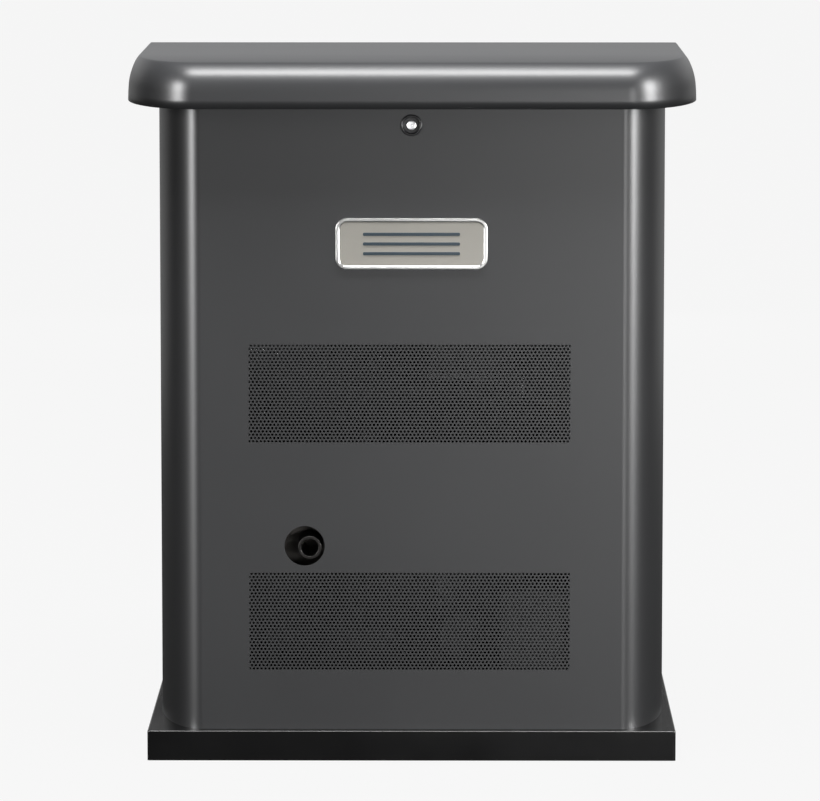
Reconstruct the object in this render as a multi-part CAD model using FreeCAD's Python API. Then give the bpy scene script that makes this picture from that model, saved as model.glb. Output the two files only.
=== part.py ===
import FreeCAD, Part
import math
import os

# Home standby generator, an upright enclosure under a hinged hood.  Millimetres.
# +Z is up and the front faces -Y.  The origin is under the middle of the base.

V = FreeCAD.Vector
X, Y, Z = V(1, 0, 0), V(0, 1, 0), V(0, 0, 1)
ORIGIN = V(0, 0, 0)
DIAGONAL = math.sqrt(0.5)
PAST = 1.0          # how far a cut or a joined piece runs past the face it meets
WIDE = 450.0        # half size of a block that takes off everything on one side

# Clearances shared by everything that fits together.
SEAT = 0.2          # still gap between pieces that are fixed to each other
SEAL_GAP = 0.3      # gap between the soft seal and the hood that closes on it
RUN = 0.05          # radial clearance of a running or keyed shaft or pin

# Enclosure: plan outline, height and sheet.
BODY_W, BODY_D, BODY_TOP = 638.0, 642.0, 828.0
CORNER_X, CORNER_Y, CORNER_BACK = 58.0, 170.0, 24.0
SHEET = 2.0
SIDE, FRONT, BACK = BODY_W / 2, -BODY_D / 2, BODY_D / 2
FRONT_SEAM, BACK_SEAM = FRONT + CORNER_Y + 11.0, BACK - 41.0
RING_W, RING_H = 12.0, 12.0
RING_IN = SIDE - SHEET - SEAT - RING_W
POST_T, POST_LEG, POST_BEFORE, POST_AFTER, POST_HALF = 2.5, 25.0, 10.0, 20.0, 14.0
SEAL_H, SEAL_INSET, SEAL_W = 6.0, 5.0, 7.0

# Base pan, a little larger all round than the enclosure.
BASE_W, BASE_D, BASE_H = BODY_W + 2 * 10.5, BODY_D + 2 * 14.0, 37.5
PAN_WALL, PAN_CORNER, PAN_ARRIS = 6.0, 3.0, 1.5
ANCHOR_X, ANCHOR_Y, ANCHOR_R, BOSS_R = 290.0, 230.0, 5.5, 16.0
RIB_Y = 110.0
TRAY_WALL, TRAY_H = 6.0, 16.0
SADDLE_T, SADDLE_HALF, SADDLE_RISE, SADDLES = 5.0, 35.0, 30.0, (-200.0, -65.0)

# Front details.
VENT_X0, VENT_X1 = -202.0, 197.0
VENTS = ((398.6, 520.6), (112.7, 234.7))
VENT_PITCH, VENT_HOLE_R, VENT_EDGE = 9.5, 2.9, 6.0
LOCK_Z, LOCK_HOLE_R = BODY_TOP - 35.2, 12.2
PORT_X, PORT_Z, PORT_R = -133.0, 268.6, 25.0
BADGE_W, BADGE_H, BADGE_Z, BADGE_T, BADGE_RIM = 188.0, 64.0, 646.1, 3.5, 5.0
BADGE_ROUND, BADGE_FLOOR, FIELD_T, BAR_T = 14.0, 1.0, 1.2, 0.6
BAR_HALF, BAR_H, BAR_PITCH = 60.0, 4.0, 12.0

# Back details.
LOUVRE_X, LOUVRE_HALF, LOUVRE_H, LOUVRE_PITCH = 150.0, 110.0, 5.0, 16.0
LOUVRE_ROWS, LOUVRE_Z = 8, BODY_TOP - 322.0
SCREW_R, SCREW_T, SCREW_INSET, SCREW_X = 5.5, 2.5, 12.0, SIDE - 44.0
SCREW_HEIGHTS = (75.0, 420.0, BODY_TOP - 63.0)

# Hood: laps over the enclosure, then the roll as (height above the rim, side inset,
# front inset) of each level.
HOOD_HALF, HOOD_FRONT, HOOD_BACK = SIDE + 39.0, FRONT - 39.0, BACK + 19.0
HOOD_RX, HOOD_RY, HOOD_RB = CORNER_X + 35.0, CORNER_Y + 35.0, 40.0
HOOD_SKIN = 2.5
HOOD_RIM = BODY_TOP - 13.0
HOOD_ROLL = [(0.0, 0.0, 0.0), (21.0, 1.0, 0.0), (30.0, 2.6, 1.0), (38.0, 4.9, 4.0),
             (45.0, 7.6, 9.0), (50.5, 10.6, 15.5), (54.2, 13.3, 22.0), (56.0, 15.5, 29.0)]
HOOD_TOP = HOOD_RIM + HOOD_ROLL[-1][0]
RIDGE_Y, ROOF_FALL = 98.0, 5.0
LINER_T, LINER_SIDE, LINER_FRONT, LINER_BACK = 10.0, SIDE - 31.0, FRONT + 26.0, RIDGE_Y - 6.0
LINER_EDGE = 4.0

# Hood hinges and stay.
HINGE_Y, HINGE_Z, HINGE_X = BACK + 8.5, BODY_TOP - 20.0, 200.0
PIN_R, KNUCKLE_R, LEAF_HALF, LEAF_T, LEAF_Y = 2.5, 5.0, 30.0, 2.4, HOOD_BACK - 7.0
KNUCKLE_GAP, PIN_END = 0.5, 2.0
LEAF_UP, LEAF_DOWN, LEAF_START, WEB_START = 28.0, 36.0, 5.5, 2.0
STAY_Y, STAY_LEN, STAY_W, STAY_T, STUD_R = 240.0, 340.0, 12.0, 5.0, 4.0
STAY_X = RING_IN - 13.3
EAR_T, EAR_HALF, EAR_BELOW, EAR_TOP, EAR_ROOT = 2.8, 12.0, 10.0, 4.0, 3.0
STUD_HEAD, STUD_FLANGE, STUD_GAP = 3.2, 3.0, 0.3

# Lock and the keeper that its blade catches.
LOCK_FLANGE_R, LOCK_FLANGE_T, LOCK_RECESS_R, LOCK_RECESS = 13.5, 3.2, 10.0, 8.5
LOCK_BARREL_R, LOCK_PLUG_R, PLUG_STAND = 12.0, 6.0, 1.2
KEYWAY_HALF, KEYWAY_H, KEYWAY_DEPTH = 0.9, 4.0, 4.0
CAM_Y, CAM_T, CAM_LEN, CAM_W, CAM_HUB = FRONT + 19.0, 3.0, 20.0, 10.0, 7.0
TAIL_PIN_R, TAIL_PIN_END, CAM_NUT_R, CAM_NUT_T, BARREL_GAP = 4.0, 4.0, 6.5, 3.0, 0.5
KEEPER_X0, KEEPER_X1, KEEPER_T, KEEPER_FLANGE = 12.0, 30.0, 2.5, 16.0
KEEPER_BEHIND, KEEPER_BELOW, KEEPER_LIP = 8.5, 7.0, 2.0

# Engine and alternator on one shaft along X.
SHAFT_Z, SHAFT_R = 210.0, 18.0
SHAFT_X0, SHAFT_X1 = -250.0, 250.0
WEB_R, WEB_T, WEBS, THROW, CRANKPIN_R = 52.0, 12.0, (62.0, 104.0, 146.0), 26.0, 14.0
BED_TOP, BED_T, BED_X0, BED_X1, BED_HALF = 68.5, 6.0, -235.0, 262.0, 125.0
BED_LIP_T, BED_LIP_H = 4.0, 12.0
MOUNT_X, MOUNT_Y, MOUNT_R = 190.0, 95.0, 20.0
CASE_X0, CASE_X1, CASE_HALF, CASE_TOP, CASE_WALL = 30.0, 190.0, 95.0, 290.0, 12.0
DECK, BARREL_LEN, BARREL_R = 105.0, 80.0, 45.0
FIN_R, FIN_T, FIN_PITCH, FIN_START, FINS = 60.0, 2.5, 9.0, 10.0, 8
HEAD_LEN, HEAD_HALF = 40.0, 55.0
HEAD_SLOTS, HEAD_SLOT_START, HEAD_SLOT_PITCH, HEAD_SLOT_H, HEAD_SLOT_DEPTH = 3, 9.0, 8.0, 4.0, 10.0
COVER_LEN, COVER_X, COVER_Y, COVER_ROUND = 18.0, 42.0, 45.0, 7.0
LEAN = 45.0
CYLINDERS = ((95.0, 1.0), (125.0, -1.0))
DIP_X, DIP_R, DIP_TOP, NECK_WALL = 178.0, 5.0, 394.0, 3.0
DIP_START, CAP_R, CAP_T = 55.0, 13.0, 16.0
WHEEL_X, WHEEL_T, WHEEL_R = 205.0, 30.0, 105.0
BLADES, BLADE_HALF, BLADE_LEN, BLADE_IN, BLADE_OUT = 12, 2.0, 14.0, 55.0, 98.0
BLOWER_R, BLOWER_DEPTH, BLOWER_WALL, INLET_R = 122.0, 72.0, 4.0, 70.0
FOOT_HALF, FOOT_MARGIN, BLOWER_FOOT_H, FOOT_BITE = 60.0, 5.0, 50.0, 2.0
CAN_R, CAN_IN, CAN_X0 = 108.0, 100.0, -225.0
CAN_FOOT_X0, CAN_FOOT_X1, CAN_FOOT_H = -190.0, -20.0, 60.0
CAN_SLOTS, CAN_SLOT_X0, CAN_SLOT_X1, CAN_SLOT_HALF = 6, -8.0, 26.0, 4.0
ROTOR_R, ROTOR_X0, ROTOR_X1, AIR_GAP = 72.0, -185.0, -25.0, 2.0
POLES, POLE_GAP_HALF, POLE_ROOT = 4, 9.0, 46.0
FAN_X, FAN_R, FAN_T, HUB_R, HUB_LEN = ROTOR_X0 - 28.0, 66.0, 3.0, 30.0, 30.0
WINDING_LEN, WINDING_OUT, WINDING_IN = 15.0, 6.0, 4.0
BELL_T, BELL_SLOTS, BELL_SLOT_HALF, BELL_SLOT_IN, BELL_SLOT_OUT = 15.0, 8, 8.0, 45.0, 85.0
OIL_FILTER_X, OIL_FILTER_Z, OIL_FILTER_R, OIL_FILTER_LEN, CAN_ROUND = 62.0, 128.0, 34.0, 72.0, 8.0
STARTER_X, STARTER_Z, STARTER_R, STARTER_LEN = 40.0, 130.0, 32.0, 142.0
SOLENOID_X, SOLENOID_RISE, SOLENOID_R, SOLENOID_LEN = 60.0, 44.0, 17.0, 80.0
STRAP_X0, STRAP_X1, STRAP_HALF, STRAP_Z0, STRAP_Z1 = 70.0, 130.0, 8.0, 150.0, 170.0

# Exhaust.
MUFFLER_Y, MUFFLER_R, MUFFLER_X0, MUFFLER_X1 = FRONT + 106.0, 50.0, -235.0, -25.0
MUFFLER_ROUND = 8.0
TAIL_X, TAIL_Z, TAIL_R, TAIL_BORE, TAIL_STEP, TAIL_SOCKET = -126.7, 266.2, 14.5, 10.8, 0.5, 29.0
PIPE_R, PIPE_BORE, NEAR_BEND, FAR_BEND = 12.0, 10.0, 18.0, 30.0
NEAR_START, NEAR_CORNER, FAR_START, FAR_X = 40.0, 0.0, 70.0, -60.0

# Intake.
MIX_X0, MIX_X1, MIX_HALF, MIX_Z0, MIX_Z1, MIX_AXIS = 80.0, 140.0, 25.0, 400.0, 450.0, 424.0
RUNNER_X, RUNNER_R, RUNNER_BEND, RUNNER_BITE = 110.0, 13.0, 14.0, 5.0
TRAY_X0, TRAY_X1, TRAY_HALF, TRAY_T, TRAY_STEP, TRAY_STEP_T = 20.0, 160.0, 80.0, 6.0, 10.0, 4.0
THROTTLE_R, THROTTLE_DROP, LEVER_HALF, LEVER_T, LEVER_LEN, LEVER_EYE = 4.0, 10.0, 5.0, 3.0, 24.0, 8.0
THROTTLE_OUT, THROTTLE_END = 3.0, 5.0
FILTER_X0, FILTER_X1, FILTER_HALF, FILTER_H, FILTER_RIM = 34.0, 146.0, 62.0, 34.0, 6.0
PLEATS, PLEAT_START, PLEAT_PITCH, PLEAT_GAP = 11, 7.0, 9.4, 4.0
CLEANER_SHY, CLEANER_H, CLEANER_WALL, CLEANER_ROOF, CLEANER_ROUND = 2.0, 50.0, 4.0, 6.0, 10.0

# Control gear under the hood.
BOX_HALF, BOX_WALL, FACE_T = 250.0, 2.0, 3.0
BOX_Y1, BOX_Z1 = BACK - 21.0, BODY_TOP - 48.0
BOX_Y0, BOX_Z0 = BOX_Y1 - 170.0, BOX_Z1 - 140.0
BOX_FLANGE, BOX_FLANGE_STEP = 20.0, 10.0
FACE_TOP = BOX_Z1 + FACE_T
KEY_Y, KEY_R, KEY_TOP, KEY_STEM, KEY_GAP, KEY_ROUND = BOX_Y0 + 70.0, 12.0, 8.0, 4.0, 0.3, 1.5
KEYS = {"key_auto": 100.0, "key_off": 140.0, "key_manual": 180.0}
DISPLAY_Y, DISPLAY_W, DISPLAY_D, DISPLAY_H, DISPLAY_RIM = BOX_Y0 + 75.0, 100.0, 56.0, 8.0, 12.0
DISPLAY_FLOOR, LENS_T = 4.0, 2.5
BREAKER_X, BREAKER_Y, BREAKER_W, BREAKER_D, BREAKER_H = -160.0, BOX_Y0 + 80.0, 80.0, 64.0, 12.0
BREAKER_SLOT_X, BREAKER_SLOT_Y, BREAKER_FLOOR = 8.0, 16.0, 1.0
TOGGLE_R, TOGGLE_HALF, TOGGLE_T, TOGGLE_H, TOGGLE_GAP = 5.0, 7.0, 3.0, 24.0, 0.3

# Services.
GLAND_X, GLAND_Z, GLAND_R, GLAND_BORE = 150.0, 120.0, 17.3, 12.7
GLAND_IN, GLAND_LEN, GLAND_FLANGE, GLAND_NUT = 20.0, 48.0, 7.0, 6.0
FUEL_X, FUEL_Z, FUEL_R = -200.0, 172.0, 10.5
FUEL_HOLE_GAP, FUEL_OUT, FUEL_BORE, FUEL_BORE_START = 3.0, 39.0, 7.0, 9.0
COCK_Y, COCK_DEEP, COCK_HALF, COCK_STEM_R, COCK_STEM = BACK - 19.0, 14.0, 15.0, 4.0, 4.0
COCK_STEM_LEN, COCK_SEAT, LEVER_REACH, LEVER_W, COCK_LEVER_T, COCK_EYE = 14.0, 3.0, 46.0, 10.0, 4.0, 7.0
REG_Y, REG_R, REG_RIM_R, REG_TOP, REG_DEEP = BACK - 85.2, 40.0, 50.0, 12.0, 37.0
REG_RIM_LOW, REG_RIM_T, REG_LEG = 6.0, 8.0, 12.0
HOSE_R, HOSE_BORE, HOSE_BEND = 8.0, 5.0, 60.0
BATTERY = (112.0, 266.0, FRONT + 29.0, FRONT + 156.0, BASE_H + 4.0, BASE_H + 172.5)
BATTERY_ROUND, BATTERY_POST_R, BATTERY_POST_H, BATTERY_POST_IN, BATTERY_POST_BACK = 4.0, 8.0, 14.0, 23.0, 25.0


def box(x0, x1, y0, y1, z0, z1):
    return Part.makeBox(x1 - x0, y1 - y0, z1 - z0, V(x0, y0, z0))


def cyl(x, y, z, axis, radius, length):
    return Part.makeCylinder(radius, length, V(x, y, z), axis)


def tube(x, y, z, axis, outer, inner, length):
    return cyl(x, y, z, axis, outer, length).cut(cyl(x, y, z, axis, inner, length))


def joined(first, *others):
    shape = first
    for other in others:
        shape = shape.fuse(other)
    return shape.removeSplitter()


def group(solids):
    return Part.makeCompound(solids)


def runs_along(edge, axis):
    """True for a straight edge that lies along an axis."""
    return abs(edge.tangentAt(edge.FirstParameter).dot(axis)) > DIAGONAL


def outline(half, front, back, rx, ry, rb, z):
    """Closed plan outline with long elliptical front corners and round back corners."""
    fy, by = front + ry, back - rb
    edges = [Part.makeLine(V(-half + rx, front, z), V(half - rx, front, z))]
    for side in (1, -1):
        middle = V(side * (half - rx), fy, z)
        ellipse = Part.Ellipse(middle - Y * ry, middle + X * (side * rx), middle)
        edges.append(Part.ArcOfEllipse(ellipse, 0, math.pi / 2).toShape())
        edges.append(Part.makeLine(V(side * half, fy, z), V(side * half, by, z)))
        corner = V(side * (half - rb), by, z)
        turn = V(side * rb, rb, 0) * DIAGONAL
        arc = Part.Arc(corner + X * (side * rb), corner + turn, corner + Y * rb)
        edges.append(arc.toShape())
    edges.append(Part.makeLine(V(-half + rb, back, z), V(half - rb, back, z)))
    return Part.Wire(Part.__sortEdges__(edges))


def body_block(inset, z0, z1):
    """The enclosure's plan, drawn in by an inset, as a solid between two heights."""
    wire = outline(SIDE - inset, FRONT + inset, BACK - inset, CORNER_X - inset,
                   CORNER_Y - inset, CORNER_BACK - inset, z0)
    return Part.Face(wire).extrude(Z * (z1 - z0))


def body_ring(inset, width, z0, z1):
    return body_block(inset, z0, z1).cut(body_block(inset + width, z0, z1))


def bent_path(points, bend):
    """Straight runs joined by tangent arcs of one bend radius."""
    edges, start = [], points[0]
    for before, corner, after in zip(points, points[1:], points[2:]):
        inward, outward = (before - corner).normalize(), (after - corner).normalize()
        half_angle = inward.getAngle(outward) / 2
        reach = bend / math.tan(half_angle)
        first, last = corner + inward * reach, corner + outward * reach
        bisector = (inward + outward).normalize()
        middle = corner + bisector * (bend / math.sin(half_angle) - bend)
        edges.append(Part.makeLine(start, first))
        edges.append(Part.Arc(first, middle, last).toShape())
        start = last
    edges.append(Part.makeLine(start, points[-1]))
    return Part.Wire(edges)


def bent_tube(points, bend, outer, inner):
    path = bent_path(points, bend)
    heading = points[1] - points[0]
    solids = []
    for radius in (outer, inner):
        ring = Part.Wire([Part.makeCircle(radius, points[0], heading)])
        solids.append(path.makePipeShell([ring], True, False))
    return solids[0].cut(solids[1])


def round_shaft(shape, count, start=0.0):
    """Copies of a shape made above the X axis, spread evenly round the crank axis."""
    copies = []
    for i in range(count):
        turned = shape.copy()
        turned.rotate(ORIGIN, X, start + i * 360 / count)
        turned.translate(V(0, 0, SHAFT_Z))
        copies.append(turned)
    return copies


def base_pan():
    """Formed pan, open below, with anchor bosses, battery tray and muffler saddles."""
    half_w, half_d = BASE_W / 2, BASE_D / 2
    shell = box(-half_w, half_w, -half_d, half_d, 0, BASE_H)
    shell = shell.makeFillet(PAN_CORNER, [e for e in shell.Edges if runs_along(e, Z)])
    top = [e for e in shell.Edges if e.BoundBox.ZMin > BASE_H - PAST]
    shell = shell.makeFillet(PAN_ARRIS, top)
    ceiling = BASE_H - PAN_WALL
    in_w, in_d = half_w - PAN_WALL, half_d - PAN_WALL
    shell = shell.cut(box(-in_w, in_w, -in_d, in_d, 0, ceiling))
    ribs = [box(-in_w - PAST, in_w + PAST, y - PAN_WALL / 2, y + PAN_WALL / 2, PAN_WALL, ceiling + PAST)
            for y in (-RIB_Y, RIB_Y)]
    places = [(sx * ANCHOR_X, sy * ANCHOR_Y) for sx in (-1, 1) for sy in (-1, 1)]
    bosses = [cyl(x, y, 0, Z, BOSS_R, ceiling + PAST) for x, y in places]
    shell = joined(shell, *ribs, *bosses)
    for x, y in places:
        shell = shell.cut(cyl(x, y, 0, Z, ANCHOR_R, BASE_H))
    return joined(shell, battery_tray(), *muffler_saddles())


def battery_tray():
    x0, x1, y0, y1, z0, z1 = BATTERY
    wall = TRAY_WALL
    tray = box(x0 - wall, x1 + wall, y0 - wall, y1 + wall, BASE_H - PAST, z0 + TRAY_H)
    return tray.cut(box(x0 - SEAT, x1 + SEAT, y0 - SEAT, y1 + SEAT, z0, z1))


def muffler_saddles():
    """Two legs from the pan, cut to the underside of the muffler."""
    drum = cyl(MUFFLER_X0, MUFFLER_Y, TAIL_Z, X, MUFFLER_R + SEAT, MUFFLER_X1 - MUFFLER_X0)
    near, far = MUFFLER_Y - SADDLE_HALF, MUFFLER_Y + SADDLE_HALF
    legs = [box(x, x + SADDLE_T, near, far, BASE_H - PAST, TAIL_Z - SADDLE_RISE) for x in SADDLES]
    return [leg.cut(drum) for leg in legs]


def frame_posts():
    """Four angle posts behind the panel seams, from the base to the top ring."""
    face = SIDE - SHEET
    top = BODY_TOP - RING_H
    front_end = FRONT_SEAM + POST_AFTER
    spans = ((FRONT_SEAM - POST_BEFORE, front_end, front_end - POST_T),
             (BACK_SEAM - POST_HALF, BACK_SEAM + POST_HALF, BACK_SEAM - POST_HALF))
    posts = []
    for y0, y1, leg_y in spans:
        flat = box(face - POST_T, face, y0, y1, BASE_H, top)
        leg = box(face - POST_LEG, face, leg_y, leg_y + POST_T, BASE_H, top)
        right = joined(flat, leg)
        posts += [right, right.mirror(ORIGIN, X)]
    return group(posts)


def top_frame():
    """Ring that the panels hang on, with the pivot stud of the hood stay."""
    ring = body_ring(SHEET + SEAT, RING_W, BODY_TOP - RING_H, BODY_TOP)
    ear = box(RING_IN - EAR_T, RING_IN + EAR_ROOT, STAY_Y - EAR_HALF, STAY_Y + EAR_HALF,
              HINGE_Z - EAR_BELOW, BODY_TOP - EAR_TOP)
    stud = cyl(STAY_X - PAST, STAY_Y, HINGE_Z, X, STUD_R, RING_IN - STAY_X)
    head = cyl(STAY_X - STUD_GAP - STUD_HEAD, STAY_Y, HINGE_Z, X, STUD_R + STUD_FLANGE, STUD_HEAD)
    return joined(ring, ear, stud, head)


def roof_seal():
    return body_ring(SEAL_INSET, SEAL_W, BODY_TOP, BODY_TOP + SEAL_H)


def panel_shell():
    return body_ring(0, SHEET, BASE_H, BODY_TOP)


def front_panel():
    """Front sheet carried round both corners to the side seams."""
    sheet = panel_shell().common(box(-SIDE, SIDE, FRONT, FRONT_SEAM, 0, BODY_TOP))
    for z0, z1 in VENTS:
        sheet = sheet.cut(box(VENT_X0, VENT_X1, FRONT - PAST, FRONT + SHEET + PAST, z0, z1))
    sheet = sheet.cut(cyl(0, FRONT - PAST, LOCK_Z, Y, LOCK_HOLE_R, SHEET + 2 * PAST))
    return sheet.cut(cyl(PORT_X, FRONT - PAST, PORT_Z, Y, PORT_R, SHEET + 2 * PAST))


def vent_screen(z0, z1):
    """Perforated sheet with staggered round holes, flush in its window."""
    x0, x1, low, high = VENT_X0 + SEAT, VENT_X1 - SEAT, z0 + SEAT, z1 - SEAT
    corners = [V(x0, FRONT, low), V(x1, FRONT, low), V(x1, FRONT, high), V(x0, FRONT, high)]
    wires = [Part.makePolygon(corners + corners[:1])]
    row_pitch = VENT_PITCH * math.sqrt(3) / 2
    rows = int((high - low - 2 * VENT_EDGE) / row_pitch) + 1
    for row in range(rows):
        z = (low + high) / 2 + (row - (rows - 1) / 2) * row_pitch
        x = x0 + VENT_EDGE + (row % 2) * VENT_PITCH / 2
        while x < x1 - VENT_EDGE:
            wires.append(Part.Wire([Part.makeCircle(VENT_HOLE_R, V(x, FRONT, z), Y)]))
            x += VENT_PITCH
    return Part.Face(wires).extrude(Y * SHEET)


def vent_screens():
    return group([vent_screen(z0, z1) for z0, z1 in VENTS])


def side_panel(side):
    low, high = sorted((side * SIDE, side * (SIDE - CORNER_BACK)))
    return panel_shell().common(box(low, high, FRONT_SEAM, BACK_SEAM, 0, BODY_TOP))


def back_panel():
    """Back sheet with louvre slots and the holes for the cable and the fuel pipe."""
    sheet = panel_shell().common(box(-SIDE, SIDE, BACK_SEAM, BACK, 0, BODY_TOP))
    inside, depth = BACK - SHEET - PAST, SHEET + 2 * PAST
    for row in range(LOUVRE_ROWS):
        for x in (-LOUVRE_X, LOUVRE_X):
            z = LOUVRE_Z + row * LOUVRE_PITCH
            slot = box(x - LOUVRE_HALF, x + LOUVRE_HALF, inside, inside + depth, z, z + LOUVRE_H)
            sheet = sheet.cut(slot)
    sheet = sheet.cut(cyl(GLAND_X, inside, GLAND_Z, Y, GLAND_R + SEAT, depth))
    return sheet.cut(cyl(FUEL_X, inside, FUEL_Z, Y, FUEL_R + FUEL_HOLE_GAP, depth))


def rounded_plate(width, height, radius, y0, y1):
    low, high = BADGE_Z - height / 2, BADGE_Z + height / 2
    plate = box(-width / 2, width / 2, y0, y1, low, high)
    return plate.makeFillet(radius, [e for e in plate.Edges if runs_along(e, Y)])


def badge_bezel():
    plate = rounded_plate(BADGE_W, BADGE_H, BADGE_ROUND, FRONT - BADGE_T, FRONT)
    field = rounded_plate(BADGE_W - 2 * BADGE_RIM, BADGE_H - 2 * BADGE_RIM, BADGE_ROUND - BADGE_RIM,
                          FRONT - BADGE_T, FRONT - BADGE_FLOOR)
    return plate.cut(field)


def badge_face():
    """Plain plate lying in the bezel, with three raised bars and no lettering."""
    trim = 2 * BADGE_RIM + 2 * SEAT
    outer = FRONT - BADGE_FLOOR - FIELD_T
    plate = rounded_plate(BADGE_W - trim, BADGE_H - trim, BADGE_ROUND - BADGE_RIM, outer,
                          FRONT - BADGE_FLOOR)
    bars = []
    for row in (-1, 0, 1):
        low = BADGE_Z + row * BAR_PITCH - BAR_H / 2
        bars.append(box(-BAR_HALF, BAR_HALF, outer - BAR_T, outer + SEAT, low, low + BAR_H))
    return joined(plate, *bars)


def panel_screws():
    """Round screw heads down the back edge of both side panels and the back panel."""
    heads = []
    for z in SCREW_HEIGHTS:
        heads.append(cyl(SIDE, BACK_SEAM - SCREW_INSET, z, X, SCREW_R, SCREW_T))
        heads.append(cyl(-SIDE, BACK_SEAM - SCREW_INSET, z, -X, SCREW_R, SCREW_T))
        for x in (-SCREW_X, SCREW_X):
            heads.append(cyl(x, BACK, z, Y, SCREW_R, SCREW_T))
    return group(heads)


def lock_housing():
    """Round escutcheon with a deep recess and a barrel through the front sheet."""
    outer = FRONT - LOCK_FLANGE_T
    flange = cyl(0, outer, LOCK_Z, Y, LOCK_FLANGE_R, LOCK_FLANGE_T)
    barrel = cyl(0, FRONT - PAST, LOCK_Z, Y, LOCK_BARREL_R, CAM_Y - BARREL_GAP - FRONT + PAST)
    recess = cyl(0, outer, LOCK_Z, Y, LOCK_RECESS_R, LOCK_RECESS)
    bore = cyl(0, outer, LOCK_Z, Y, LOCK_PLUG_R + RUN, CAM_Y - outer)
    return joined(flange, barrel).cut(recess).cut(bore)


def lock_plug():
    """Chromed plug with a key slot, carried in the housing's bore."""
    face = FRONT - PLUG_STAND
    plug = cyl(0, face, LOCK_Z, Y, LOCK_PLUG_R, CAM_Y - face)
    tail = cyl(0, CAM_Y - PAST, LOCK_Z, Y, TAIL_PIN_R, CAM_T + TAIL_PIN_END + PAST)
    nut = cyl(0, CAM_Y + CAM_T + SEAT, LOCK_Z, Y, CAM_NUT_R, CAM_NUT_T)
    keyway = box(-KEYWAY_HALF, KEYWAY_HALF, face, face + KEYWAY_DEPTH, LOCK_Z - KEYWAY_H, LOCK_Z + KEYWAY_H)
    return joined(plug, tail, nut).cut(keyway)


def lock_cam():
    """Blade that points up when unlocked and turns over the hood's keeper."""
    blade = box(-CAM_W / 2, CAM_W / 2, CAM_Y, CAM_Y + CAM_T, LOCK_Z, LOCK_Z + CAM_LEN)
    hub = cyl(0, CAM_Y, LOCK_Z, Y, CAM_HUB, CAM_T)
    return joined(blade, hub).cut(cyl(0, CAM_Y, LOCK_Z, Y, TAIL_PIN_R + RUN, CAM_T))


def lock_keeper():
    """Bent bracket that hangs from the hood frame and turns in below the blade."""
    low = BODY_TOP + SEAL_H + SEAL_GAP
    ring_face = FRONT + SHEET + SEAT + RING_W + SEAT
    back = CAM_Y + KEEPER_BEHIND + KEEPER_T
    foot = LOCK_Z - KEEPER_BELOW - KEEPER_T
    x0, x1 = KEEPER_X0, KEEPER_X1
    flange = box(x0, x1, ring_face, ring_face + KEEPER_T, low, low + KEEPER_FLANGE)
    shelf = box(x0, x1, ring_face, back, low, low + KEEPER_T)
    drop = box(x0, x1, back - KEEPER_T, back, foot, low + KEEPER_T)
    lip = box(x0, x1, CAM_Y - KEEPER_LIP, back, foot, foot + KEEPER_T)
    return joined(flange, shelf, drop, lip)


def hood_solid(skin):
    """Hood form without its hollow, drawn in by a skin thickness on every side."""
    wires = []
    for rise, side, front in HOOD_ROLL:
        height = HOOD_RIM + rise - skin if rise else HOOD_RIM - (PAST if skin else 0)
        wires.append(outline(HOOD_HALF - side - skin, HOOD_FRONT + front + skin,
                             HOOD_BACK - side - skin, HOOD_RX - side - skin,
                             HOOD_RY - front - skin, HOOD_RB - side - skin, height))
    form = Part.makeLoft(wires, True, True)
    ridge = V(0, RIDGE_Y, HOOD_TOP - skin)
    above = box(-WIDE, WIDE, RIDGE_Y, RIDGE_Y + WIDE, HOOD_TOP - skin, HOOD_TOP + WIDE)
    above.rotate(ridge, X, -ROOF_FALL)
    return form.cut(above)


def hood_shell():
    return hood_solid(0).cut(hood_solid(HOOD_SKIN))


def hood_liner():
    """Sound pad glued under the level part of the roof."""
    top = HOOD_TOP - HOOD_SKIN - SEAT
    area = box(-LINER_SIDE, LINER_SIDE, LINER_FRONT, LINER_BACK, top - LINER_T, top)
    return area.common(body_block(SHEET + RING_W + LINER_EDGE, top - LINER_T, top))


def hood_frame():
    """Stiffening ring in the roof that lands on the seal."""
    low = BODY_TOP + SEAL_H + SEAL_GAP
    ring = body_ring(SHEET + SEAT, RING_W, low, HOOD_TOP)
    return ring.common(hood_solid(HOOD_SKIN + SEAT))


def hinge_leaf(x, moving):
    """One leaf of a butt hinge; the moving leaf has the middle knuckle."""
    third = LEAF_HALF / 3
    x0, x1 = x - LEAF_HALF, x + LEAF_HALF
    if moving:
        spans = [(KNUCKLE_GAP - third, third - KNUCKLE_GAP)]
        shape = box(x0, x1, LEAF_Y, LEAF_Y + LEAF_T, HINGE_Z + LEAF_START, HINGE_Z + LEAF_UP)
    else:
        spans = [(-LEAF_HALF, -third), (third, LEAF_HALF)]
        shape = box(x0, x1, BACK, BACK + LEAF_T, HINGE_Z - LEAF_DOWN, HINGE_Z)
    for low, high in spans:
        knuckle = cyl(x + low, HINGE_Y, HINGE_Z, X, KNUCKLE_R, high - low)
        if moving:
            web = box(x + low, x + high, HINGE_Y, LEAF_Y + LEAF_T, HINGE_Z + WEB_START,
                      HINGE_Z + KNUCKLE_R + PAST)
        else:
            web = box(x + low, x + high, BACK, HINGE_Y, HINGE_Z - KNUCKLE_R, HINGE_Z - PAST)
        shape = shape.fuse(knuckle).fuse(web)
    hole = cyl(x0, HINGE_Y, HINGE_Z, X, PIN_R + RUN, x1 - x0)
    return shape.cut(hole).removeSplitter()


def hinge_leaves(moving):
    return group([hinge_leaf(x, moving) for x in (-HINGE_X, HINGE_X)])


def hinge_pins():
    reach = LEAF_HALF + PIN_END
    return group([cyl(x - reach, HINGE_Y, HINGE_Z, X, PIN_R, 2 * reach) for x in (-HINGE_X, HINGE_X)])


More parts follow.
